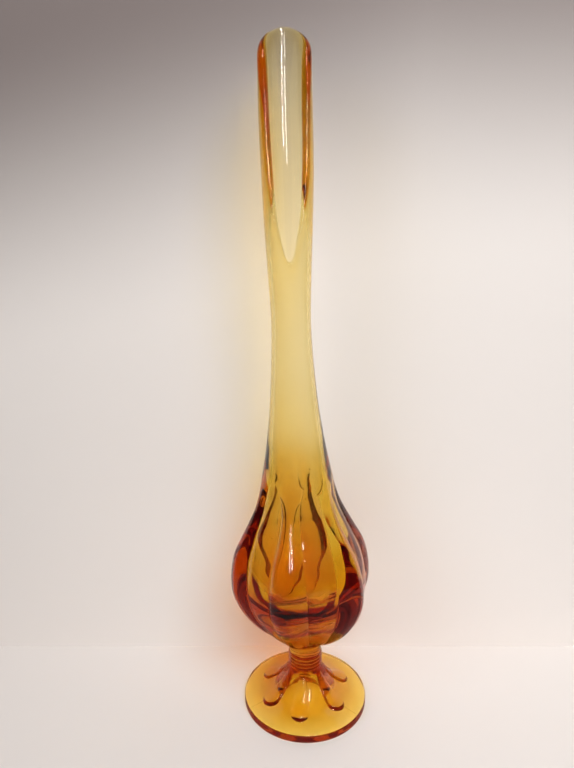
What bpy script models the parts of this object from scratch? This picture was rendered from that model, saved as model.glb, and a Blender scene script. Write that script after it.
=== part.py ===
"""A swung glass vase: a lobed bulb drawn out into a long leaning neck with a slanted open mouth.

It stands on a ringed stem and a round foot with raised petals. Heights are above the table,
angles run around the axis from the front (-Y) towards +X, and everything is in metres.
"""
import math

import bmesh
import bpy
from mathutils import Vector

# The whole vase
OBJECT_NAME = "swung_glass_vase"
JOIN_GAP = 0.0003          # air left where the hot glass of two pieces is fused
FOOT_X = 0.0036            # the foot's centre: the frame's origin is under the middle of the outline
AXIS = [(0.0426, 0.0), (0.0800, -0.0018), (0.1100, -0.0031), (0.1500, -0.0050), (0.2000, -0.0072),
        (0.2500, -0.0096), (0.3000, -0.0115), (0.3500, -0.0130), (0.4000, -0.0141), (0.4450, -0.0156),
        (0.4900, -0.0162)]                           # how far the leaning axis is from the foot's centre

# The foot: (radius, height) down its upper side from the hub, and over a hollow in its underside
FOOT_TOP = [(0.0128, 0.0307), (0.0137, 0.0280), (0.0170, 0.0215), (0.0220, 0.0154), (0.0280, 0.0110),
            (0.0360, 0.0079), (0.0430, 0.0066), (0.0472, 0.0060)]
FOOT_EDGE = [(0.0480, 0.0050), (0.0480, 0.0010), (0.0470, 0.0)]
UNDERSIDE = [(0.0, 0.0220), (0.0050, 0.0198), (0.0090, 0.0145), (0.0130, 0.0085), (0.0170, 0.0038),
             (0.0210, 0.0012), (0.0260, 0.0002), (0.0420, 0.0)]
PETAL_TURNS = [-9, 50, 109, 175, 243, 299]           # their middles, in degrees from the front
PETAL_START = 0.0130
PETAL_TIP = 0.0366
PETAL_START_HALF_WIDTH = 0.0026
PETAL_HALF_WIDTH = 0.0077
PETAL_RISE = 0.0028
PETAL_WALL = 0.0012        # width of the steep side of a petal, and its share of the rise
PETAL_WALL_SHARE = 0.6
PETAL_START_LENGTH = 0.0040

# The stem: a short collar of fine rings
STEM_BOTTOM = 0.0310
STEM_TOP = 0.0426
STEM_RADIUS = 0.0126
STEM_RINGS = 4
STEM_RING_RISE = 0.0005
STEM_RING_POINTS = 4

# The body: crest radius and cavity radius at heights chosen along it
OUTER = [(0.0429, 0.0125), (0.0500, 0.0128), (0.0540, 0.0163), (0.0580, 0.0222), (0.0630, 0.0295),
         (0.0700, 0.0373), (0.0780, 0.0438), (0.0880, 0.0498), (0.0990, 0.0538), (0.1100, 0.0546),
         (0.1210, 0.0534), (0.1320, 0.0504), (0.1430, 0.0446), (0.1540, 0.0386), (0.1650, 0.0331),
         (0.1780, 0.0288), (0.1950, 0.0246), (0.2150, 0.0211), (0.2400, 0.0178), (0.2700, 0.0153),
         (0.3000, 0.0140), (0.3300, 0.0150), (0.3600, 0.0164), (0.3950, 0.0176), (0.4300, 0.0179),
         (0.4600, 0.0176), (0.4950, 0.0172)]
INNER = [(0.0880, 0.0214), (0.0940, 0.0284), (0.1010, 0.0346), (0.1100, 0.0377), (0.1200, 0.0379),
         (0.1300, 0.0361), (0.1400, 0.0334), (0.1500, 0.0293), (0.1600, 0.0251), (0.1720, 0.0212),
         (0.1850, 0.0195), (0.2000, 0.0184), (0.2150, 0.0175), (0.2400, 0.0149), (0.2700, 0.0128),
         (0.3000, 0.0115), (0.3300, 0.0122), (0.3600, 0.0135), (0.3950, 0.0146), (0.4300, 0.0149),
         (0.4600, 0.0145), (0.4950, 0.0140)]
CAVITY_FLOOR = 0.0755
BULB_BOTTOM = 0.0500
BULB_TOP = 0.1850          # the rings of the wall lie closer together below this height

# The bulb: six lobes, a lower leaf between each two, and a groove where a lobe meets a leaf
LOBES = 6
LOBE_CREST = math.radians(-13)                     # the middle of one lobe
GROOVE_RADIUS = 0.88       # radius at a groove, as a share of the crest's
LEAF_RADIUS = 0.89         # radius at a leaf's middle, as a share of the crest's
GROOVE_DEGREES = [(0.1080, 17.0), (0.1376, 15.0), (0.1610, 12.5), (0.1740, 14.0), (0.1810, 18.0),
                  (0.1870, 24.0), (0.1910, 28.0), (0.2350, 20.0)]
RELIEF = [(0.0500, 0.0), (0.0580, 0.45), (0.0720, 0.95), (0.0900, 1.0), (0.1350, 1.0), (0.1610, 0.9),
          (0.1740, 0.70), (0.1820, 0.42), (0.1880, 0.14), (0.1920, 0.0)]   # how much of it shows at a height

# The mouth: the height of the rim's middle line at degrees from the front, alike on both sides
MOUTH_RIM = [(0, 0.3392), (17, 0.3430), (30, 0.3560), (45, 0.3750), (54, 0.3960), (59, 0.4110),
             (65, 0.4390), (77, 0.4600), (90, 0.4700), (115, 0.4785), (150, 0.4865), (180, 0.4895)]
BEAD = 0.0010              # the extra thickness of the glass at the rim, and how far down it reaches
BEAD_REACH = 0.0160
SIDE_GATHER = [(0.3500, 0.0), (0.3750, 0.0012), (0.4000, 0.0022), (0.4300, 0.0024),
               (0.4950, 0.0026)]                     # the extra thickness at the mouth's two sides
MOUTH_START = 0.3050       # above this height the rings of the wall follow the rim's slant

# Fineness of the surfaces
LOBE_COLUMNS = 6
LEAF_COLUMNS = 4
BULB_RINGS = 17
CAVITY_RINGS = 9
NECK_RINGS = 7
MOUTH_RINGS = 9
RIM_RINGS = 6
FLOOR_RINGS = 4
FOOT_SEGMENTS = 84
FOOT_TOP_RINGS = 16
UNDERSIDE_RINGS = 6
STEM_SEGMENTS = 36
SMOOTH_ANGLE = math.radians(40)
SAME_PLACE = 0.00001       # points nearer than this are one point


def along(stations, position):
    """A smooth value between (position, value) stations, level at the two ends."""
    last = len(stations) - 1
    position = min(max(position, stations[0][0]), stations[last][0])
    i = min(max(k for k in range(last + 1) if stations[k][0] <= position), last - 1)

    def slope(k):
        if k in (0, last):
            return 0.0
        return (stations[k + 1][1] - stations[k - 1][1]) / (stations[k + 1][0] - stations[k - 1][0])

    (x0, y0), (x1, y1) = stations[i], stations[i + 1]
    width = x1 - x0
    t = (position - x0) / width
    return ((2 * t**3 - 3 * t**2 + 1) * y0 + (t**3 - 2 * t**2 + t) * width * slope(i)
            + (3 * t**2 - 2 * t**3) * y1 + (t**3 - t**2) * width * slope(i + 1))


def spaced(low, high, count):
    """count values from low to high, with low left out and high kept."""
    return [low + (high - low) * k / count for k in range(1, count + 1)]


def point(angle, radius, height):
    """A place on a level section of the leaning body."""
    axis_x = FOOT_X + along(AXIS, height)
    return Vector((axis_x + radius * math.sin(angle), -radius * math.cos(angle), height))


def outer_radius(angle, height):
    """The outer wall: rounded lobes and leaves that meet in grooves and fade out in the neck."""
    pitch = 2 * math.pi / LOBES
    from_crest = abs((angle - LOBE_CREST + pitch / 2) % pitch - pitch / 2)
    groove = math.radians(along(GROOVE_DEGREES, height))
    if from_crest < groove:
        section = 1 - (1 - GROOVE_RADIUS) * (from_crest / groove) ** 2
    else:
        across = (pitch / 2 - from_crest) / (pitch / 2 - groove)
        section = LEAF_RADIUS - (LEAF_RADIUS - GROOVE_RADIUS) * across ** 2
    return along(OUTER, height) * (1 - along(RELIEF, height) * (1 - section))


def column_angles(height):
    """Around a section: evenly over each lobe, then evenly over the leaf beside it."""
    pitch = 2 * math.pi / LOBES
    groove = math.radians(along(GROOVE_DEGREES, height))
    angles = []
    for lobe in range(LOBES):
        crest = LOBE_CREST + lobe * pitch
        angles += [crest - groove + 2 * groove * k / LOBE_COLUMNS for k in range(LOBE_COLUMNS)]
        angles += [crest + groove + (pitch - 2 * groove) * k / LEAF_COLUMNS for k in range(LEAF_COLUMNS)]
    return angles


def rim_height(angle):
    from_front = abs((angle + math.pi) % (2 * math.pi) - math.pi)
    return along(MOUTH_RIM, math.degrees(from_front))


def inner_radius(angle, height):
    """The cavity's wall, with the glass gathered at the mouth's two sides and to a bead below the rim."""
    share = 1 - (rim_height(angle) - height) / BEAD_REACH
    gathered = along(SIDE_GATHER, height) * math.sin(angle) ** 2 + BEAD * max(share, 0.0) ** 2
    return along(INNER, height) - gathered


def rim_point(angle, turn):
    """On the rounded rim: turn goes from 0 at the outer wall, over the edge, to pi at the inner one."""
    def middle(at):
        height = rim_height(at)
        return point(at, (outer_radius(at, height) + inner_radius(at, height)) / 2, height)

    height = rim_height(angle)
    half_wall = (outer_radius(angle, height) - inner_radius(angle, height)) / 2
    step = math.radians(0.5)
    line = middle(angle + step) - middle(angle - step)
    out = Vector((math.sin(angle), -math.cos(angle), 0.0))
    over = out.cross(line).normalized()
    return middle(angle) + half_wall * (math.cos(turn) * out + math.sin(turn) * over)


def petal_rise(radius, angle):
    """The height that a petal adds to the foot: a domed teardrop, narrow at the stem and round at its tip."""
    turns = [angle - math.radians(turn) for turn in PETAL_TURNS]
    off = min(((turn + math.pi) % (2 * math.pi) - math.pi for turn in turns), key=abs)
    out, side = radius * math.cos(off), abs(radius * math.sin(off))
    round_centre = PETAL_TIP - PETAL_HALF_WIDTH
    if out > round_centre:
        width, from_middle = PETAL_HALF_WIDTH, math.hypot(out - round_centre, side)
    else:
        share = max(out - PETAL_START, 0.0) / (round_centre - PETAL_START)
        width = PETAL_START_HALF_WIDTH + (PETAL_HALF_WIDTH - PETAL_START_HALF_WIDTH) * share
        from_middle = side
    inside = max(width - from_middle, 0.0)
    wall = math.sin(math.pi / 2 * min(inside / PETAL_WALL, 1.0))
    dome = PETAL_WALL_SHARE * wall + (1 - PETAL_WALL_SHARE) * max(1 - (from_middle / width) ** 2, 0.0)
    start_share = min(max((out - PETAL_START) / PETAL_START_LENGTH, 0.0), 1.0)
    return PETAL_RISE * (width / PETAL_HALF_WIDTH) ** 0.5 * dome * math.sin(math.pi / 2 * start_share)


def glass(name, colour):
    material = bpy.data.materials.new(name)
    material.use_nodes = True
    shader = material.node_tree.nodes["Principled BSDF"]
    shader.inputs["Base Color"].default_value = (*colour, 1.0)
    shader.inputs["Metallic"].default_value = 0.0
    shader.inputs["Roughness"].default_value = 0.03
    shader.inputs["IOR"].default_value = 1.5
    shader.inputs["Transmission Weight"].default_value = 1.0
    return material


def finish(name, mesh, colour, collection):
    """Puts a mesh in the scene as one named sub-part, shaded smooth."""
    mesh.name = name
    mesh.materials.append(glass(name + "_glass", colour))
    mesh.shade_smooth()
    mesh.set_sharp_from_angle(angle=SMOOTH_ANGLE)
    collection.objects.link(bpy.data.objects.new(name, mesh))


def turned(profile, segments):
    """The mesh of a profile of (radius, height) turned around the foot's upright axis."""
    mesh = bpy.data.meshes.new("profile")
    edges = [(k, k + 1) for k in range(len(profile) - 1)]
    mesh.from_pydata([(radius, 0.0, height) for radius, height in profile], edges, [])
    shape = bpy.data.objects.new("profile", mesh)
    bpy.context.scene.collection.objects.link(shape)
    screw = shape.modifiers.new("turn", "SCREW")
    screw.steps = screw.render_steps = segments
    screw.use_merge_vertices = True
    screw.merge_threshold = SAME_PLACE
    result = bpy.data.meshes.new_from_object(shape.evaluated_get(bpy.context.evaluated_depsgraph_get()))
    bpy.data.objects.remove(shape)
    for vertex in result.vertices:
        vertex.co.x += FOOT_X
    return result


def foot_mesh():
    """The turned disc with its petals raised out of the upper surface."""
    hub_radius, hub_height = FOOT_TOP[0]
    slope_radii = spaced(hub_radius, FOOT_TOP[-1][0], FOOT_TOP_RINGS)
    profile = [(0.0, hub_height), (hub_radius, hub_height)]
    profile += [(radius, along(FOOT_TOP, radius)) for radius in slope_radii]
    underside_radii = spaced(UNDERSIDE[-1][0], 0.0, UNDERSIDE_RINGS)
    profile += FOOT_EDGE + [UNDERSIDE[-1]]
    profile += [(radius, along(UNDERSIDE, radius)) for radius in underside_radii]
    mesh = turned(profile, FOOT_SEGMENTS)
    for vertex in mesh.vertices:
        radius = math.hypot(vertex.co.x - FOOT_X, vertex.co.y)
        if radius > hub_radius + SAME_PLACE and vertex.co.z > along(FOOT_TOP, radius) - SAME_PLACE:
            vertex.co.z += petal_rise(radius, math.atan2(vertex.co.x - FOOT_X, -vertex.co.y))
    return mesh


def stem_mesh():
    """A collar whose side is a row of fine rounded rings."""
    count = STEM_RINGS * STEM_RING_POINTS
    profile = [(0.0, STEM_TOP)]
    for k in range(count + 1):
        swell = STEM_RING_RISE * (1 - math.cos(2 * math.pi * k / STEM_RING_POINTS)) / 2
        profile.append((STEM_RADIUS + swell, STEM_TOP + (STEM_BOTTOM - STEM_TOP) * k / count))
    profile.append((0.0, STEM_BOTTOM))
    return turned(profile, STEM_SEGMENTS)


def body_mesh():
    """A loft up the outer wall, over the rim and down the inner wall to the floor of the cavity."""
    angles = column_angles(MOUTH_START)
    count = len(angles)
    bottom = STEM_TOP + JOIN_GAP
    outer_heights = [bottom] + spaced(bottom, BULB_BOTTOM, 2)
    outer_heights += spaced(BULB_BOTTOM, BULB_TOP, BULB_RINGS) + spaced(BULB_TOP, MOUTH_START, NECK_RINGS)
    shares = spaced(0, 1, MOUTH_RINGS)
    turns = [math.pi * k / RIM_RINGS for k in range(1, RIM_RINGS)]
    inner_start = INNER[0][0]
    inner_heights = spaced(MOUTH_START, BULB_TOP, NECK_RINGS) + spaced(BULB_TOP, inner_start, CAVITY_RINGS)

    def mouth_height(angle, share):
        return MOUTH_START + share * (rim_height(angle) - MOUTH_START)

    def mouth_ring(wall_radius, share):
        heights = [mouth_height(a, share) for a in angles]
        return [point(a, wall_radius(a, z), z) for a, z in zip(angles, heights)]

    rings = [[point(a, outer_radius(a, z), z) for a in column_angles(z)] for z in outer_heights]
    rings += [mouth_ring(outer_radius, share) for share in shares]
    rings += [[rim_point(a, turn) for a in angles] for turn in turns]
    rings += [mouth_ring(inner_radius, share) for share in reversed([0.0] + shares)]
    rings += [[point(a, along(INNER, z), z) for a in column_angles(z)] for z in inner_heights]
    for k in range(1, FLOOR_RINGS):
        turn = math.pi / 2 * k / FLOOR_RINGS
        z = inner_start - (inner_start - CAVITY_FLOOR) * math.sin(turn)
        rings.append([point(a, INNER[0][1] * math.cos(turn), z) for a in column_angles(z)])

    mesh = bmesh.new()
    rows = [[mesh.verts.new(place) for place in ring] for ring in rings]
    for lower, upper in zip(rows, rows[1:]):
        for k in range(count):
            after = (k + 1) % count
            mesh.faces.new((lower[k], lower[after], upper[after], upper[k]))
    mesh.faces.new(list(reversed(rows[0])))
    floor = mesh.verts.new(point(0.0, 0.0, CAVITY_FLOOR))
    for k in range(count):
        mesh.faces.new((rows[-1][k], rows[-1][(k + 1) % count], floor))
    result = bpy.data.meshes.new("body")
    mesh.to_mesh(result)
    mesh.free()
    return result


def main():
    for old in list(bpy.data.objects):
        bpy.data.objects.remove(old)
    collection = bpy.data.collections.new(OBJECT_NAME)
    bpy.context.scene.collection.children.link(collection)
    finish("foot", foot_mesh(), (0.86, 0.50, 0.08), collection)
    finish("stem", stem_mesh(), (0.55, 0.24, 0.06), collection)
    finish("body", body_mesh(), (0.82, 0.46, 0.07), collection)


main()
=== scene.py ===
"""The swung glass vase as it looks: one fused piece of clear amber glass, on a pale table by a pale wall.

The vase is one loft of rings, from the middle of the foot's underside, over the foot, the stem and the outer
wall to the rim, and down the inner wall to the cavity's floor. Heights are above the table, angles run around
the axis from the front (-Y) towards +X, and everything is in metres.
"""

import math

import bmesh
import bpy
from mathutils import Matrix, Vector


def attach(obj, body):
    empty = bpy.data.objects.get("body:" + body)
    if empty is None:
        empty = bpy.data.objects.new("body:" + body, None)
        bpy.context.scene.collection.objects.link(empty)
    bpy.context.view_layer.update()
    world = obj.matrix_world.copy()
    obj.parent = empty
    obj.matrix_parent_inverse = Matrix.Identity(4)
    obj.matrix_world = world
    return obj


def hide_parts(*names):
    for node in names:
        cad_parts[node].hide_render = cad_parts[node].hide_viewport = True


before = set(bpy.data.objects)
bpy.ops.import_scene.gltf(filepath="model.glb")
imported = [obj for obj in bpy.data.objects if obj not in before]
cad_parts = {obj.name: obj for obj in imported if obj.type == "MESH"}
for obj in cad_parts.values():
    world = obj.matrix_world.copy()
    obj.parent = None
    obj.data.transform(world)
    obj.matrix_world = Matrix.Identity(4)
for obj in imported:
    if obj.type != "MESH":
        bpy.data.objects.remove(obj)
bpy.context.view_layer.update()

# The whole vase
FOOT_X = 0.0036            # the foot's centre
AXIS = [(0.0426, 0.0), (0.0800, -0.0018), (0.1100, -0.0031), (0.1500, -0.0050), (0.2000, -0.0072),
        (0.2500, -0.0096), (0.3000, -0.0115), (0.3500, -0.0130), (0.4000, -0.0141), (0.4450, -0.0156),
        (0.4900, -0.0162)]                           # how far the leaning axis is from the foot's centre

# The foot: (radius, height) down its upper side from the hub, and over a hollow in its underside
FOOT_TOP = [(0.0128, 0.0307), (0.0137, 0.0280), (0.0170, 0.0215), (0.0220, 0.0154), (0.0280, 0.0110),
            (0.0360, 0.0079), (0.0430, 0.0066), (0.0472, 0.0060)]
FOOT_EDGE_RADIUS = 0.0480
FOOT_EDGE_TOP = 0.0060
FOOT_EDGE_BEND = 0.0010
UNDERSIDE = [(0.0, 0.0220), (0.0050, 0.0198), (0.0090, 0.0145), (0.0130, 0.0085), (0.0170, 0.0038),
             (0.0210, 0.0012), (0.0260, 0.0002), (0.0420, 0.0)]
PETAL_TURNS = [-9, 50, 109, 175, 243, 299]           # their middles, in degrees from the front
PETAL_START = 0.0130
PETAL_TIP = 0.0366
PETAL_START_HALF_WIDTH = 0.0026
PETAL_HALF_WIDTH = 0.0077
PETAL_RISE = 0.0028
PETAL_WALL = 0.0012        # width of the steep side of a petal, and its share of the rise
PETAL_WALL_SHARE = 0.6
PETAL_START_LENGTH = 0.0040
PETAL_HALF_ROUND = 0.0299  # where the sides of a petal run into its round tip
PETAL_GATHER = math.radians(2.0)
PETAL_WIDEST = math.radians(20)

# The stem: a short collar of fine rings
STEM_BOTTOM = 0.0310
STEM_TOP = 0.0426
STEM_RADIUS = 0.0126
STEM_RINGS = 4
STEM_RING_RISE = 0.0005

# The body: crest radius and cavity radius at heights chosen along it
OUTER = [(0.0429, 0.0125), (0.0500, 0.0128), (0.0540, 0.0163), (0.0580, 0.0222), (0.0630, 0.0295),
         (0.0700, 0.0373), (0.0780, 0.0438), (0.0880, 0.0498), (0.0990, 0.0538), (0.1100, 0.0546),
         (0.1210, 0.0534), (0.1320, 0.0504), (0.1430, 0.0446), (0.1540, 0.0386), (0.1650, 0.0331),
         (0.1780, 0.0288), (0.1950, 0.0246), (0.2150, 0.0211), (0.2400, 0.0178), (0.2700, 0.0153),
         (0.3000, 0.0140), (0.3300, 0.0150), (0.3600, 0.0164), (0.3950, 0.0176), (0.4300, 0.0179),
         (0.4600, 0.0176), (0.4950, 0.0172)]
INNER = [(0.0880, 0.0214), (0.0940, 0.0284), (0.1010, 0.0346), (0.1100, 0.0377), (0.1200, 0.0379),
         (0.1300, 0.0361), (0.1400, 0.0334), (0.1500, 0.0293), (0.1600, 0.0251), (0.1720, 0.0212),
         (0.1850, 0.0195), (0.2000, 0.0184), (0.2150, 0.0175), (0.2400, 0.0149), (0.2700, 0.0128),
         (0.3000, 0.0115), (0.3300, 0.0122), (0.3600, 0.0135), (0.3950, 0.0146), (0.4300, 0.0149),
         (0.4600, 0.0145), (0.4950, 0.0140)]
CAVITY_FLOOR = 0.0755

# The bulb: six lobes, a lower leaf between each two, and a groove where a lobe meets a leaf
LOBES = 6
LOBE_CREST = math.radians(-13)                     # the middle of one lobe
GROOVE_RADIUS = 0.88       # radius at a groove, as a share of the crest's
LEAF_RADIUS = 0.89         # radius at a leaf's middle, as a share of the crest's
GROOVE_DEGREES = [(0.1080, 17.0), (0.1376, 15.0), (0.1610, 12.5), (0.1740, 14.0), (0.1810, 18.0),
                  (0.1870, 24.0), (0.1910, 28.0), (0.2350, 20.0)]
RELIEF = [(0.0500, 0.0), (0.0580, 0.45), (0.0720, 0.95), (0.0900, 1.0), (0.1350, 1.0), (0.1610, 0.9),
          (0.1740, 0.70), (0.1820, 0.42), (0.1880, 0.14), (0.1920, 0.0)]   # how much of it shows at a height

# The mouth: the height of the rim's middle line at degrees from the front, alike on both sides
MOUTH_RIM = [(0, 0.3392), (17, 0.3430), (30, 0.3560), (45, 0.3750), (54, 0.3960), (59, 0.4110),
             (65, 0.4390), (77, 0.4600), (90, 0.4700), (115, 0.4785), (150, 0.4865), (180, 0.4895)]
BEAD = 0.0010              # the extra thickness of the glass at the rim, and how far down it reaches
BEAD_REACH = 0.0160
SIDE_GATHER = [(0.3500, 0.0), (0.3750, 0.0012), (0.4000, 0.0022), (0.4300, 0.0024),
               (0.4950, 0.0026)]                     # the extra thickness at the mouth's two sides
MOUTH_START = 0.3050       # above this height the rings of the wall follow the rim's slant

# Traces of the making
SEAM_COUNT = 3             # mould seams across the foot
SEAM_TURN = math.radians(-65)
SEAM_START = 0.0360
SEAM_HALF_WIDTH = 0.0005
SEAM_RISE = 0.00025
DRAWN_RIBS = 0.00012       # how far faint ribs stand out of the drawn neck
SEEDS = [(38, 0.1210, 0.0395, 0.00045), (24, 0.1990, 0.0205, 0.0004), (11, 0.1790, 0.0250, 0.0003),
         (-36, 0.1500, 0.0330, 0.0003)]              # bubbles: degrees, height, distance from the axis, radius
SEED_STRETCH = 1.5         # how much taller than wide a bubble is

# Fineness of the surfaces
LOBE_COLUMNS = 36
LEAF_COLUMNS = 24
UNDERSIDE_RINGS = 24
EDGE_RINGS = 8
FOOT_RINGS = 90
STEM_STEPS = 48
BASE_RINGS = 6
BULB_RINGS = 110
NECK_RINGS = 36
MOUTH_RINGS = 44
RIM_RINGS = 16
CAVITY_RINGS = 60
FLOOR_RINGS = 16
SEED_SUBDIVISIONS = 3
RIM_STEP = math.radians(0.5)   # how far apart the two places are that give the rim's direction
BULB_BOTTOM = 0.0500
BULB_TOP = 0.2000

# The glass
GLASS_INDEX = 1.5
TINT_DENSITY = 230.0
TINT = (0.9478, 0.8304, 0.2826)                      # 1 less the absorption for each metre, over the density
STREAK_SCALE = (160.0, 160.0, 5.0)                   # narrow around the neck and long up it
STREAK_DETAIL = 2.0
STREAK_BUMP = (0.05, 0.0002)                         # strength and depth
WAVE_SCALE = 55.0
WAVE_DETAIL = 1.0
WAVE_BUMP = (0.08, 0.0006)
HAZE_SCALE = 35.0
HAZE_DETAIL = 4.0
HAZE_RANGE = (0.45, 0.8)                             # the noise where the gloss begins to dull, and is dullest
HAZE_ROUGHNESS = 0.05

# The room
WALL_Y = 0.0606
STAGE_SIDE = 0.4           # how far the floor and the wall reach to each side, front, back and up
STAGE_FRONT = 0.5
STAGE_BACK = 0.6
STAGE_TOP = 0.8
# painted light: the glow of the table behind the wall, in place of light bounced onto it
BEHIND_PAINTED_GLOW = (0.36, 0.33, 0.31)
FLOOR_GAP = 0.0003         # air under the foot, so that the glass and the table don't share a face
FLOOR_COLOUR = (0.84, 0.79, 0.76)
WALL_LOW = (0.845, 0.788, 0.75)
# the colour of the painted shade at the top of the wall
WALL_PAINTED_SHADE = (0.24, 0.20, 0.19)
WALL_SHADE = (0.313, 0.560)                          # the heights where the painted shade on the wall begins and is full
WALL_SLANT = -0.235        # the painted shade on the wall reaches lower towards the left
SIDE_FALL = 0.407          # painted shade: how fast wall and table grow dimmer towards the left, for each metre, and where, towards the right, they stop growing paler
LIT_SIDE = 0.09            # and where, towards the right, they stop growing paler
SHADE_CLEARNESS = 0.88     # the share of light that the glass lets through into its own shadow
MIRRORED_FLOOR_SHADE = 0.7        # painted darker reflection: how much darker the floor is where it mirrors in the glass
ROOM = (0.04, 0.04, 0.04)  # the dim room around the stage, and what of it shows through the glass
ROOM_THROUGH_GLASS = (0.80, 0.75, 0.71)
MATTE_ROUGHNESS = 0.9
MATTE_SPECULAR = 0.1
LAMPS = {                  # place, aim, width, height, watts
    "key": ((0.4, -1.1, 1.3), (0, 0, 0.2), 1.0, 1.0, 25),
    "fill": ((-1.2, -1.0, 1.0), (0, 0, 0.2), 0.8, 0.8, 8),
    "strip": ((0.17, -0.52, 1.0), (0, 0, 0.15), 0.04, 1.0, 3.4),
    "streak": ((0.30, -0.92, 0.73), (0.132, -0.406, -0.111), 0.03, 0.3, 3.5),
    "window": ((-0.02, -1.2, 0.705), (0, 0, 0.42), 0.10, 0.16, 1.2),
}
SOFT_LAMPS = ("key", "fill")                         # they light surfaces and aren't mirrored in them
MIRRORED_LAMPS = ("strip", "streak", "window")       # they are seen as highlights only
CAMERA_PLACE = (FOOT_X - 0.01436, -0.4029, 0.3409)
CAMERA_PITCH = math.radians(11.91)
FOCAL_PIXELS = 577.0
IMAGE_HEIGHT = 768
SENSOR = 36.0
CLIP_START = 0.01


def along(stations, position):
    """A smooth value between (position, value) stations, level at the two ends."""
    last = len(stations) - 1
    position = min(max(position, stations[0][0]), stations[last][0])
    i = min(max(k for k in range(last + 1) if stations[k][0] <= position), last - 1)

    def slope(k):
        if k in (0, last):
            return 0.0
        return (stations[k + 1][1] - stations[k - 1][1]) / (stations[k + 1][0] - stations[k - 1][0])

    (x0, y0), (x1, y1) = stations[i], stations[i + 1]
    width = x1 - x0
    t = (position - x0) / width
    return ((2 * t**3 - 3 * t**2 + 1) * y0 + (t**3 - 2 * t**2 + t) * width * slope(i)
            + (3 * t**2 - 2 * t**3) * y1 + (t**3 - t**2) * width * slope(i + 1))


def spaced(low, high, count):
    """count values from low to high, with low left out and high kept."""
    return [low + (high - low) * k / count for k in range(1, count + 1)]


def point(angle, radius, height):
    """A place on a level section of the leaning body."""
    axis_x = FOOT_X + along(AXIS, height)
    return Vector((axis_x + radius * math.sin(angle), -radius * math.cos(angle), height))


def column_angles(height):
    """Around a section: evenly over each lobe, then evenly over the leaf beside it."""
    pitch = 2 * math.pi / LOBES
    groove = math.radians(along(GROOVE_DEGREES, height))
    angles = []
    for lobe in range(LOBES):
        crest = LOBE_CREST + lobe * pitch
        angles += [crest - groove + 2 * groove * k / LOBE_COLUMNS for k in range(LOBE_COLUMNS)]
        angles += [crest + groove + (pitch - 2 * groove) * k / LEAF_COLUMNS for k in range(LEAF_COLUMNS)]
    return angles


def outer_radius(angle, height):
    """The outer wall: rounded lobes and leaves that meet in grooves and fade to faint ribs in the neck."""
    pitch = 2 * math.pi / LOBES
    from_crest = abs((angle - LOBE_CREST + pitch / 2) % pitch - pitch / 2)
    groove = math.radians(along(GROOVE_DEGREES, height))
    if from_crest < groove:
        section = 1 - (1 - GROOVE_RADIUS) * (from_crest / groove) ** 2
    else:
        across = (pitch / 2 - from_crest) / (pitch / 2 - groove)
        section = LEAF_RADIUS - (LEAF_RADIUS - GROOVE_RADIUS) * across ** 2
    ribs = DRAWN_RIBS * (math.cos(LOBES * (angle - LOBE_CREST)) - 1) / 2
    return along(OUTER, height) * (1 - along(RELIEF, height) * (1 - section)) + ribs


def rim_height(angle):
    from_front = abs((angle + math.pi) % (2 * math.pi) - math.pi)
    return along(MOUTH_RIM, math.degrees(from_front))


def inner_radius(angle, height):
    """The cavity's wall, with the glass gathered at the mouth's two sides and to a bead below the rim."""
    share = 1 - (rim_height(angle) - height) / BEAD_REACH
    gathered = along(SIDE_GATHER, height) * math.sin(angle) ** 2 + BEAD * max(share, 0.0) ** 2
    return along(INNER, height) - gathered


def rim_point(angle, turn):
    """On the rounded rim: turn goes from 0 at the outer wall, over the edge, to pi at the inner one."""
    def middle(at):
        height = rim_height(at)
        return point(at, (outer_radius(at, height) + inner_radius(at, height)) / 2, height)

    height = rim_height(angle)
    half_wall = (outer_radius(angle, height) - inner_radius(angle, height)) / 2
    line = middle(angle + RIM_STEP) - middle(angle - RIM_STEP)
    out = Vector((math.sin(angle), -math.cos(angle), 0.0))
    over = out.cross(line).normalized()
    return middle(angle) + half_wall * (math.cos(turn) * out + math.sin(turn) * over)


def petal_rise(radius, angle):
    """The height that a petal adds to the foot: a domed teardrop, narrow at the stem and round at its tip."""
    turns = [angle - math.radians(turn) for turn in PETAL_TURNS]
    off = min(((turn + math.pi) % (2 * math.pi) - math.pi for turn in turns), key=abs)
    out, side = radius * math.cos(off), abs(radius * math.sin(off))
    round_centre = PETAL_TIP - PETAL_HALF_WIDTH
    if out > round_centre:
        width, from_middle = PETAL_HALF_WIDTH, math.hypot(out - round_centre, side)
    else:
        share = max(out - PETAL_START, 0.0) / (round_centre - PETAL_START)
        width = PETAL_START_HALF_WIDTH + (PETAL_HALF_WIDTH - PETAL_START_HALF_WIDTH) * share
        from_middle = side
    inside = max(width - from_middle, 0.0)
    wall = math.sin(math.pi / 2 * min(inside / PETAL_WALL, 1.0))
    dome = PETAL_WALL_SHARE * wall + (1 - PETAL_WALL_SHARE) * max(1 - (from_middle / width) ** 2, 0.0)
    start_share = min(max((out - PETAL_START) / PETAL_START_LENGTH, 0.0), 1.0)
    return PETAL_RISE * (width / PETAL_HALF_WIDTH) ** 0.5 * dome * math.sin(math.pi / 2 * start_share)


def seam_rise(radius, angle):
    """The fine raised line that each joint of the mould left on the foot, outside the petals."""
    pitch = 2 * math.pi / SEAM_COUNT
    off = (angle - SEAM_TURN + pitch / 2) % pitch - pitch / 2
    share = abs(radius * math.sin(off)) / SEAM_HALF_WIDTH
    if share > 1 or radius < SEAM_START:
        return 0.0
    return SEAM_RISE * (1 + math.cos(math.pi * share)) / 2


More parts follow.
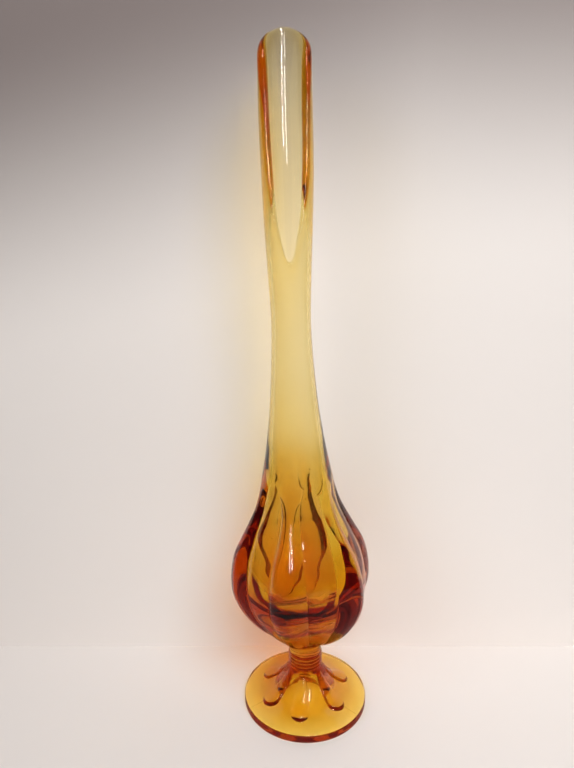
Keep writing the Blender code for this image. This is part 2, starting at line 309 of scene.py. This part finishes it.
def foot_angles(radius):
    """Around the foot: as many columns as the body has, gathered where a ring crosses a petal's outline."""
    round_centre = PETAL_TIP - PETAL_HALF_WIDTH
    if radius > PETAL_HALF_ROUND:
        share = (radius**2 + round_centre**2 - PETAL_HALF_WIDTH**2) / (2 * radius * round_centre)
        outline = math.acos(min(share, 1.0))
    else:
        width = PETAL_START_HALF_WIDTH + (PETAL_HALF_WIDTH - PETAL_START_HALF_WIDTH) * (
            max(radius - PETAL_START, 0.0) / (round_centre - PETAL_START))
        outline = math.asin(min(width / radius, 1.0))
    outline = min(max(outline, 2 * PETAL_GATHER), PETAL_WIDEST)
    third = (LOBE_COLUMNS + LEAF_COLUMNS) // 6
    angles = []
    turns = [math.radians(turn) for turn in PETAL_TURNS]
    for k, turn in enumerate(turns):
        before = (turns[k - 1] - turn) % (2 * math.pi) - 2 * math.pi
        after = (turns[(k + 1) % len(turns)] - turn) % (2 * math.pi)
        marks = [before / 2, -outline - PETAL_GATHER, -outline + PETAL_GATHER, 0.0,
                 outline - PETAL_GATHER, outline + PETAL_GATHER, after / 2]
        for low, high in zip(marks, marks[1:]):
            angles += [turn + low + (high - low) * step / third for step in range(third)]
    return angles


def foot_rings():
    """The foot's rings, from its underside over the edge and up to the hub."""
    def level(radius, height):
        angles = foot_angles(radius)
        return [Vector((FOOT_X + radius * math.sin(a), -radius * math.cos(a), height)) for a in angles]

    radii = spaced(0.0, UNDERSIDE[-1][0], UNDERSIDE_RINGS)
    rings = [level(radius, along(UNDERSIDE, radius)) for radius in radii]
    bend = FOOT_EDGE_BEND
    for k in range(EDGE_RINGS + 1):
        turn = math.pi / 2 * k / EDGE_RINGS
        rings.append(level(FOOT_EDGE_RADIUS - bend + bend * math.sin(turn), bend - bend * math.cos(turn)))
    for k in range(EDGE_RINGS + 1):
        turn = math.pi / 2 * k / EDGE_RINGS
        rings.append(level(FOOT_EDGE_RADIUS - bend + bend * math.cos(turn),
                           FOOT_EDGE_TOP - bend + bend * math.sin(turn)))
    for radius in spaced(FOOT_EDGE_RADIUS - bend, FOOT_TOP[0][0], FOOT_RINGS):
        ring = level(radius, along(FOOT_TOP, radius))
        for place, angle in zip(ring, foot_angles(radius)):
            place.z += petal_rise(radius, angle) + seam_rise(radius, angle)
        rings.append(ring)
    return rings


def stem_rings(angles):
    rings = []
    for k in range(STEM_STEPS + 1):
        swell = STEM_RING_RISE * (1 - math.cos(2 * math.pi * STEM_RINGS * k / STEM_STEPS)) / 2
        height = STEM_BOTTOM + (STEM_TOP - STEM_BOTTOM) * k / STEM_STEPS
        rings.append([point(a, STEM_RADIUS + swell, height) for a in angles])
    return rings


def body_rings():
    """Up the outer wall, over the rim and down the inner wall to the floor of the cavity."""
    angles = column_angles(MOUTH_START)
    bottom = OUTER[0][0]
    outer_heights = [bottom] + spaced(bottom, BULB_BOTTOM, BASE_RINGS)
    outer_heights += spaced(BULB_BOTTOM, BULB_TOP, BULB_RINGS) + spaced(BULB_TOP, MOUTH_START, NECK_RINGS)
    shares = spaced(0, 1, MOUTH_RINGS)
    turns = [math.pi * k / RIM_RINGS for k in range(1, RIM_RINGS)]
    inner_start = INNER[0][0]
    inner_heights = spaced(MOUTH_START, BULB_TOP, NECK_RINGS) + spaced(BULB_TOP, inner_start, CAVITY_RINGS)

    def mouth_height(angle, share):
        return MOUTH_START + share * (rim_height(angle) - MOUTH_START)

    def mouth_ring(wall_radius, share):
        heights = [mouth_height(a, share) for a in angles]
        return [point(a, wall_radius(a, z), z) for a, z in zip(angles, heights)]

    rings = [[point(a, outer_radius(a, z), z) for a in column_angles(z)] for z in outer_heights]
    rings += [mouth_ring(outer_radius, share) for share in shares]
    rings += [[rim_point(a, turn) for a in angles] for turn in turns]
    rings += [mouth_ring(inner_radius, share) for share in reversed([0.0] + shares)]
    rings += [[point(a, along(INNER, z), z) for a in column_angles(z)] for z in inner_heights]
    for k in range(1, FLOOR_RINGS):
        turn = math.pi / 2 * k / FLOOR_RINGS
        z = inner_start - (inner_start - CAVITY_FLOOR) * math.sin(turn)
        rings.append([point(a, INNER[0][1] * math.cos(turn), z) for a in column_angles(z)])
    return rings


def vase_mesh():
    angles = column_angles(MOUTH_START)
    rings = foot_rings() + stem_rings(angles) + body_rings()
    mesh = bmesh.new()
    rows = [[mesh.verts.new(place) for place in ring] for ring in rings]
    count = len(angles)
    for lower, upper in zip(rows, rows[1:]):
        for k in range(count):
            after = (k + 1) % count
            mesh.faces.new((lower[k], lower[after], upper[after], upper[k]))
    under = mesh.verts.new((FOOT_X, 0.0, UNDERSIDE[0][1]))
    floor = mesh.verts.new(point(0.0, 0.0, CAVITY_FLOOR))
    for k in range(count):
        after = (k + 1) % count
        mesh.faces.new((rows[0][after], rows[0][k], under))
        mesh.faces.new((rows[-1][k], rows[-1][after], floor))
    for degrees, height, radius, size in SEEDS:
        add_seed(mesh, point(math.radians(degrees), radius, height), size)
    result = bpy.data.meshes.new("vase_glass")
    mesh.to_mesh(result)
    mesh.free()
    result.shade_smooth()
    return result


def add_seed(mesh, centre, size):
    """A small upright bubble inside the glass, its faces turned towards the air in it."""
    made = bmesh.ops.create_icosphere(mesh, subdivisions=SEED_SUBDIVISIONS, radius=size)
    faces = {face for vertex in made["verts"] for face in vertex.link_faces}
    for vertex in made["verts"]:
        vertex.co.z *= SEED_STRETCH
        vertex.co += centre
    bmesh.ops.reverse_faces(mesh, faces=list(faces))


def noise_node(nodes, scale, detail):
    noise = nodes.new("ShaderNodeTexNoise")
    noise.inputs["Scale"].default_value = scale
    noise.inputs["Detail"].default_value = detail
    return noise


def bump_node(nodes, strength, depth):
    bump = nodes.new("ShaderNodeBump")
    bump.inputs["Strength"].default_value = strength
    bump.inputs["Distance"].default_value = depth
    return bump


def math_node(nodes, operation, *values):
    """A math node whose inputs after the first one hold the given values."""
    node = nodes.new("ShaderNodeMath")
    node.operation = operation
    for k, value in enumerate(values, start=1):
        node.inputs[k].default_value = value
    return node


def amber_glass():
    """Clear amber glass: drawn streaks and soft waves on it, and colour that deepens with thickness."""
    material = bpy.data.materials.new("clear_amber")
    material.use_nodes = True
    nodes, links = material.node_tree.nodes, material.node_tree.links
    shader = nodes["Principled BSDF"]
    shader.inputs["Base Color"].default_value = (1.0, 1.0, 1.0, 1.0)
    shader.inputs["IOR"].default_value = GLASS_INDEX
    shader.inputs["Transmission Weight"].default_value = 1.0

    place = nodes.new("ShaderNodeTexCoord")
    drawn = nodes.new("ShaderNodeMapping")
    drawn.inputs["Scale"].default_value = STREAK_SCALE
    streaks = noise_node(nodes, 1.0, STREAK_DETAIL)
    waves = noise_node(nodes, WAVE_SCALE, WAVE_DETAIL)
    streak_bump = bump_node(nodes, *STREAK_BUMP)
    wave_bump = bump_node(nodes, *WAVE_BUMP)
    links.new(place.outputs["Object"], drawn.inputs["Vector"])
    links.new(drawn.outputs["Vector"], streaks.inputs["Vector"])
    links.new(place.outputs["Object"], waves.inputs["Vector"])
    links.new(streaks.outputs["Fac"], streak_bump.inputs["Height"])
    links.new(waves.outputs["Fac"], wave_bump.inputs["Height"])
    links.new(streak_bump.outputs["Normal"], wave_bump.inputs["Normal"])
    links.new(wave_bump.outputs["Normal"], shader.inputs["Normal"])

    haze = noise_node(nodes, HAZE_SCALE, HAZE_DETAIL)
    gloss = nodes.new("ShaderNodeMapRange")
    gloss.inputs["From Min"].default_value, gloss.inputs["From Max"].default_value = HAZE_RANGE
    gloss.inputs["To Min"].default_value = 0.0
    gloss.inputs["To Max"].default_value = HAZE_ROUGHNESS
    links.new(place.outputs["Object"], haze.inputs["Vector"])
    links.new(haze.outputs["Fac"], gloss.inputs["Value"])
    links.new(gloss.outputs["Result"], shader.inputs["Roughness"])

    output = nodes["Material Output"]
    path = nodes.new("ShaderNodeLightPath")
    clear = nodes.new("ShaderNodeBsdfTransparent")
    shadow = nodes.new("ShaderNodeMixShader")
    lit = math_node(nodes, "MULTIPLY", SHADE_CLEARNESS)
    links.new(path.outputs["Is Shadow Ray"], lit.inputs[0])
    links.new(lit.outputs["Value"], shadow.inputs["Fac"])
    links.new(shader.outputs["BSDF"], shadow.inputs[1])
    links.new(clear.outputs["BSDF"], shadow.inputs[2])
    links.new(shadow.outputs["Shader"], output.inputs["Surface"])
    tint = nodes.new("ShaderNodeVolumeAbsorption")
    tint.inputs["Color"].default_value = (*TINT, 1.0)
    tint.inputs["Density"].default_value = TINT_DENSITY
    links.new(tint.outputs["Volume"], output.inputs["Volume"])
    return material


def matte(name, colour):
    material = bpy.data.materials.new(name)
    material.use_nodes = True
    shader = material.node_tree.nodes["Principled BSDF"]
    shader.inputs["Base Color"].default_value = (*colour, 1.0)
    shader.inputs["Roughness"].default_value = MATTE_ROUGHNESS
    shader.inputs["Specular IOR Level"].default_value = MATTE_SPECULAR
    return material


def paint_shade_to_the_left(material, colour):
    """Scales a colour output by a painted shade that falls towards the left, and gives the place's sideways
    share and height.
    """
    nodes, links = material.node_tree.nodes, material.node_tree.links
    place = nodes.new("ShaderNodeTexCoord")
    split = nodes.new("ShaderNodeSeparateXYZ")
    side = math_node(nodes, "MINIMUM", LIT_SIDE)
    # painted shade: the colour grows darker towards the left
    fall = math_node(nodes, "MULTIPLY_ADD", SIDE_FALL, 1.0)
    scale = nodes.new("ShaderNodeVectorMath")
    scale.operation = "SCALE"
    links.new(place.outputs["Object"], split.inputs["Vector"])
    links.new(split.outputs["X"], side.inputs[0])
    links.new(side.outputs["Value"], fall.inputs[0])
    links.new(colour, scale.inputs["Vector"])
    links.new(fall.outputs["Value"], scale.inputs["Scale"])
    links.new(scale.outputs["Vector"], nodes["Principled BSDF"].inputs["Base Color"])
    return side.outputs["Value"], split.outputs["Z"]


def floor_material():
    """A pale table, with painted shade to the left and a painted darker reflection where the glass mirrors it.
    """
    material = matte("table_cloth", FLOOR_COLOUR)
    nodes, links = material.node_tree.nodes, material.node_tree.links
    cloth = nodes.new("ShaderNodeRGB")
    cloth.outputs["Color"].default_value = (*FLOOR_COLOUR, 1.0)
    paint_shade_to_the_left(material, cloth.outputs["Color"])
    # painted darker reflection: the floor turns darker in the glass's reflections
    path = nodes.new("ShaderNodeLightPath")
    mirrored = math_node(nodes, "MULTIPLY")
    share = math_node(nodes, "MULTIPLY", MIRRORED_FLOOR_SHADE)
    dim = nodes.new("ShaderNodeBsdfDiffuse")
    dim.inputs["Color"].default_value = (0.0, 0.0, 0.0, 1.0)
    mix = nodes.new("ShaderNodeMixShader")
    links.new(path.outputs["Is Glossy Ray"], mirrored.inputs[0])
    links.new(path.outputs["Is Reflection Ray"], mirrored.inputs[1])
    links.new(mirrored.outputs["Value"], share.inputs[0])
    links.new(share.outputs["Value"], mix.inputs["Fac"])
    links.new(nodes["Principled BSDF"].outputs["BSDF"], mix.inputs[1])
    links.new(dim.outputs["BSDF"], mix.inputs[2])
    links.new(mix.outputs["Shader"], nodes["Material Output"].inputs["Surface"])
    return material


def one_sided(material):
    """Clear from behind, so that views from the back see the vase."""
    nodes, links = material.node_tree.nodes, material.node_tree.links
    side = nodes.new("ShaderNodeNewGeometry")
    clear = nodes.new("ShaderNodeBsdfTransparent")
    mix = nodes.new("ShaderNodeMixShader")
    links.new(side.outputs["Backfacing"], mix.inputs["Fac"])
    links.new(nodes["Principled BSDF"].outputs["BSDF"], mix.inputs[1])
    links.new(clear.outputs["BSDF"], mix.inputs[2])
    links.new(mix.outputs["Shader"], nodes["Material Output"].inputs["Surface"])
    return material


def wall_material():
    """Pale below, with painted shade above and to the left."""
    material = matte("wall_paint", WALL_LOW)
    nodes, links = material.node_tree.nodes, material.node_tree.links
    # the ramp paints shade from the pale lower wall up to the dark top
    ramp = nodes.new("ShaderNodeValToRGB")
    ramp.color_ramp.interpolation = "EASE"
    for stop, height, colour in zip(ramp.color_ramp.elements, WALL_SHADE, (WALL_LOW, WALL_PAINTED_SHADE)):
        stop.position = height
        stop.color = (*colour, 1.0)
    side, height = paint_shade_to_the_left(material, ramp.outputs["Color"])
    slant = math_node(nodes, "MULTIPLY_ADD", WALL_SLANT)
    links.new(side, slant.inputs[0])
    links.new(height, slant.inputs[2])
    links.new(slant.outputs["Value"], ramp.inputs["Fac"])
    return one_sided(material)


def backdrop_behind_material():
    """The table behind the wall, with a painted glow that lifts it to the level of the table in front for the
    views from the back.
    """
    material = matte("table_cloth_behind", FLOOR_COLOUR)
    nodes, links = material.node_tree.nodes, material.node_tree.links
    path = nodes.new("ShaderNodeLightPath")
    # painted light: the table behind the wall glows for camera and refracted rays
    painted_glow = nodes.new("ShaderNodeEmission")
    painted_glow.inputs["Color"].default_value = (*BEHIND_PAINTED_GLOW, 1.0)
    both = nodes.new("ShaderNodeAddShader")
    pick = math_node(nodes, "MAXIMUM")
    links.new(path.outputs["Is Camera Ray"], pick.inputs[0])
    links.new(path.outputs["Is Transmission Ray"], pick.inputs[1])
    links.new(pick.outputs["Value"], painted_glow.inputs["Strength"])
    links.new(nodes["Principled BSDF"].outputs["BSDF"], both.inputs[0])
    links.new(painted_glow.outputs["Emission"], both.inputs[1])
    links.new(both.outputs["Shader"], nodes["Material Output"].inputs["Surface"])
    return material


def strip_of_faces(name, lines, material):
    """Faces between lines of two points each, shaded as one smooth surface."""
    mesh = bpy.data.meshes.new(name)
    points = [place for line in lines for place in line]
    faces = [(2 * k, 2 * k + 1, 2 * k + 3, 2 * k + 2) for k in range(len(lines) - 1)]
    mesh.from_pydata(points, [], faces)
    mesh.materials.append(material)
    mesh.shade_smooth()
    item = bpy.data.objects.new(name, mesh)
    bpy.context.scene.collection.objects.link(item)


def softbox(name, place, aim, width, height, power):
    data = bpy.data.lights.new(name, "AREA")
    data.shape = "RECTANGLE"
    data.size, data.size_y = width, height
    data.energy = power
    lamp = bpy.data.objects.new(name, data)
    bpy.context.scene.collection.objects.link(lamp)
    lamp.location = place
    lamp.rotation_euler = (Vector(aim) - Vector(place)).to_track_quat("-Z", "Y").to_euler()
    return lamp


def add_vase():
    mesh = vase_mesh()
    mesh.materials.append(amber_glass())
    vase = bpy.data.objects.new("vase_glass", mesh)
    bpy.context.scene.collection.objects.link(vase)
    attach(vase, "root")
    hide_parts("body", "stem", "foot")


def add_stage():
    side, low = STAGE_SIDE, -FLOOR_GAP
    surfaces = (
        ("floor", [(-STAGE_FRONT, low), (WALL_Y, low)], floor_material()),
        ("floor_behind", [(WALL_Y, low), (STAGE_BACK, low)], backdrop_behind_material()),
        ("wall", [(WALL_Y, low), (WALL_Y, STAGE_TOP)], wall_material()))
    for name, profile, material in surfaces:
        strip_of_faces(name, [[(-side, y, z), (side, y, z)] for y, z in profile], material)
    bpy.data.objects["wall"].visible_shadow = False        # so that the table behind it is lit


def add_light():
    lamps = {name: softbox(name, *values) for name, values in LAMPS.items()}
    for lamp in lamps.values():
        lamp.visible_transmission = False
    for name in SOFT_LAMPS:
        lamps[name].visible_glossy = False
    for name in MIRRORED_LAMPS:
        lamps[name].visible_diffuse = False
    world = bpy.data.worlds.new("room")
    world.use_nodes = True
    nodes, links = world.node_tree.nodes, world.node_tree.links
    background, output = nodes["Background"], nodes["World Output"]
    background.inputs["Color"].default_value = (*ROOM, 1.0)
    through = nodes.new("ShaderNodeBackground")
    through.inputs["Color"].default_value = (*ROOM_THROUGH_GLASS, 1.0)
    pale = nodes.new("ShaderNodeBackground")
    pale.inputs["Color"].default_value = (*WALL_LOW, 1.0)
    path = nodes.new("ShaderNodeLightPath")
    unscattered = math_node(nodes, "LESS_THAN", 0.5)
    straight = math_node(nodes, "MULTIPLY")
    refracted = nodes.new("ShaderNodeMixShader")
    seen = nodes.new("ShaderNodeMixShader")
    links.new(path.outputs["Diffuse Depth"], unscattered.inputs[0])
    links.new(path.outputs["Is Transmission Ray"], straight.inputs[0])
    links.new(unscattered.outputs["Value"], straight.inputs[1])
    links.new(straight.outputs["Value"], refracted.inputs["Fac"])
    links.new(background.outputs["Background"], refracted.inputs[1])
    links.new(through.outputs["Background"], refracted.inputs[2])
    links.new(path.outputs["Is Camera Ray"], seen.inputs["Fac"])
    links.new(refracted.outputs["Shader"], seen.inputs[1])
    links.new(pale.outputs["Background"], seen.inputs[2])
    links.new(seen.outputs["Shader"], output.inputs["Surface"])
    bpy.context.scene.world = world


def add_camera():
    data = bpy.data.cameras.new("camera")
    data.sensor_fit = "AUTO"
    data.sensor_width = SENSOR
    data.lens = FOCAL_PIXELS / IMAGE_HEIGHT * SENSOR
    data.clip_start = CLIP_START
    camera = bpy.data.objects.new("camera", data)
    bpy.context.scene.collection.objects.link(camera)
    camera.location = CAMERA_PLACE
    camera.rotation_euler = (math.pi / 2 - CAMERA_PITCH, 0, 0)
    bpy.context.scene.camera = camera


add_camera()
add_vase()
add_stage()
add_light()

scene = bpy.context.scene
scene.view_settings.view_transform = "Standard"
scene.cycles.max_bounces = 24
scene.cycles.transmission_bounces = 24
scene.cycles.glossy_bounces = 8
scene.cycles.transparent_max_bounces = 16
